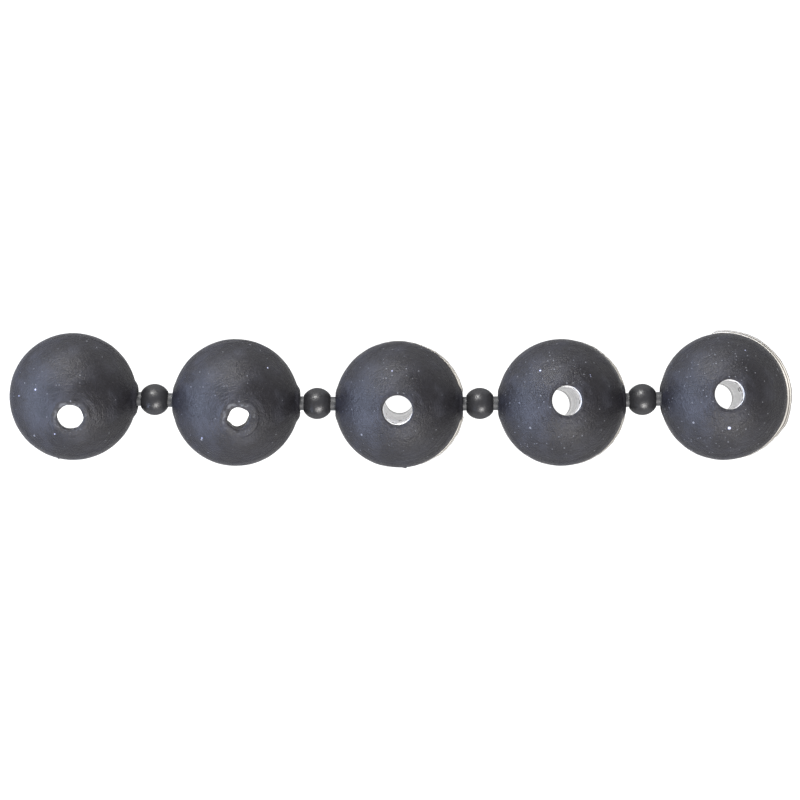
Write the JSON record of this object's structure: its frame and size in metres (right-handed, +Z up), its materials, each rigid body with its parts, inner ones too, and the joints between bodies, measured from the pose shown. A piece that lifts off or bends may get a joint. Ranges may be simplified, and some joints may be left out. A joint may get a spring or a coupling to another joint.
{
  "type": "beaded swivel strip",
  "caption": "Row of large round beads, each with a bore across the row, joined by small beads on short swivelling pins.",
  "frame": {"origin": "middle of the strip's footprint, on the surface that it lies on", "axes": "+X along the row, +Z up and roughly along the bores, +Y across the row towards the side that the row's two ends lean to"},
  "size_m": [0.0492, 0.0088, 0.008],
  "materials": {
    "shell": "matte bluish charcoal",
    "core": "pale satin",
    "small_ball": "satin near-black",
    "pin": "satin mid-grey"
  },
  "bodies": {
    "big_ball_1": {"ball_1_front_shell": "shell", "ball_1_rear_shell": "shell", "ball_1_core": "core"},
    "big_ball_2": {"ball_2_front_shell": "shell", "ball_2_rear_shell": "shell", "ball_2_core": "core"},
    "big_ball_3": {"ball_3_front_shell": "shell", "ball_3_rear_shell": "shell", "ball_3_core": "core"},
    "big_ball_4": {"ball_4_front_shell": "shell", "ball_4_rear_shell": "shell", "ball_4_core": "core"},
    "big_ball_5": {"ball_5_front_shell": "shell", "ball_5_rear_shell": "shell", "ball_5_core": "core"},
    "left_pin_1": {"link_1_left_pin": "pin"},
    "small_ball_1": {"link_1_small_ball": "small_ball"},
    "right_pin_1": {"link_1_right_pin": "pin"},
    "left_pin_2": {"link_2_left_pin": "pin"},
    "small_ball_2": {"link_2_small_ball": "small_ball"},
    "right_pin_2": {"link_2_right_pin": "pin"},
    "left_pin_3": {"link_3_left_pin": "pin"},
    "small_ball_3": {"link_3_small_ball": "small_ball"},
    "right_pin_3": {"link_3_right_pin": "pin"},
    "left_pin_4": {"link_4_left_pin": "pin"},
    "small_ball_4": {"link_4_small_ball": "small_ball"},
    "right_pin_4": {"link_4_right_pin": "pin"}
  },
  "joints": [
    {"name": "link_3_left_bend", "type": "hinge", "parent": "big_ball_3", "child": "left_pin_3", "pos_m": [0.00302, -0.00029, 0.004], "axis": [0, 0, 1], "range_deg": [-15, 15]},
    {"name": "link_3_left_swivel", "type": "hinge", "parent": "left_pin_3", "child": "small_ball_3", "pos_m": [0.00499, -0.00027, 0.004], "axis": [0.9999, 0.0122, 0], "continuous": true},
    {"name": "link_3_right_swivel", "type": "hinge", "parent": "small_ball_3", "child": "right_pin_3", "pos_m": [0.00499, -0.00027, 0.004], "axis": [0.9999, 0.0122, 0], "continuous": true},
    {"name": "link_3_right_bend", "type": "hinge", "parent": "right_pin_3", "child": "big_ball_4", "pos_m": [0.00696, -0.00024, 0.004], "axis": [-0.0122, 0.9999, 0], "range_deg": [-15, 15]},
    {"name": "link_4_left_bend", "type": "hinge", "parent": "big_ball_4", "child": "left_pin_4", "pos_m": [0.01325, -0.00009, 0.004], "axis": [0, 0, 1], "range_deg": [-15, 15]},
    {"name": "link_4_left_swivel", "type": "hinge", "parent": "left_pin_4", "child": "small_ball_4", "pos_m": [0.01522, -0.00002, 0.004], "axis": [0.9993, 0.0366, 0], "continuous": true},
    {"name": "link_4_right_swivel", "type": "hinge", "parent": "small_ball_4", "child": "right_pin_4", "pos_m": [0.01522, -0.00002, 0.004], "axis": [0.9993, 0.0366, 0], "continuous": true},
    {"name": "link_4_right_bend", "type": "hinge", "parent": "right_pin_4", "child": "big_ball_5", "pos_m": [0.01719, 0.00006, 0.004], "axis": [-0.0366, 0.9993, 0], "range_deg": [-15, 15]},
    {"name": "link_2_right_bend", "type": "hinge", "parent": "big_ball_3", "child": "right_pin_2", "pos_m": [-0.00328, -0.00029, 0.004], "axis": [0.0122, 0.9999, 0], "range_deg": [-15, 15]},
    {"name": "link_2_right_swivel", "type": "hinge", "parent": "right_pin_2", "child": "small_ball_2", "pos_m": [-0.00525, -0.00027, 0.004], "axis": [0.9999, -0.0122, 0], "continuous": true},
    {"name": "link_2_left_swivel", "type": "hinge", "parent": "small_ball_2", "child": "left_pin_2", "pos_m": [-0.00525, -0.00027, 0.004], "axis": [0.9999, -0.0122, 0], "continuous": true},
    {"name": "link_2_left_bend", "type": "hinge", "parent": "left_pin_2", "child": "big_ball_2", "pos_m": [-0.00722, -0.00024, 0.004], "axis": [0, 0, 1], "range_deg": [-15, 15]},
    {"name": "link_1_right_bend", "type": "hinge", "parent": "big_ball_2", "child": "right_pin_1", "pos_m": [-0.01352, -0.00009, 0.004], "axis": [0.0366, 0.9993, 0], "range_deg": [-15, 15]},
    {"name": "link_1_right_swivel", "type": "hinge", "parent": "right_pin_1", "child": "small_ball_1", "pos_m": [-0.01549, -0.00002, 0.004], "axis": [0.9993, -0.0366, 0], "continuous": true},
    {"name": "link_1_left_swivel", "type": "hinge", "parent": "small_ball_1", "child": "left_pin_1", "pos_m": [-0.01549, -0.00002, 0.004], "axis": [0.9993, -0.0366, 0], "continuous": true},
    {"name": "link_1_left_bend", "type": "hinge", "parent": "left_pin_1", "child": "big_ball_1", "pos_m": [-0.01746, 0.00006, 0.004], "axis": [0, 0, 1], "range_deg": [-15, 15]}
  ]
}
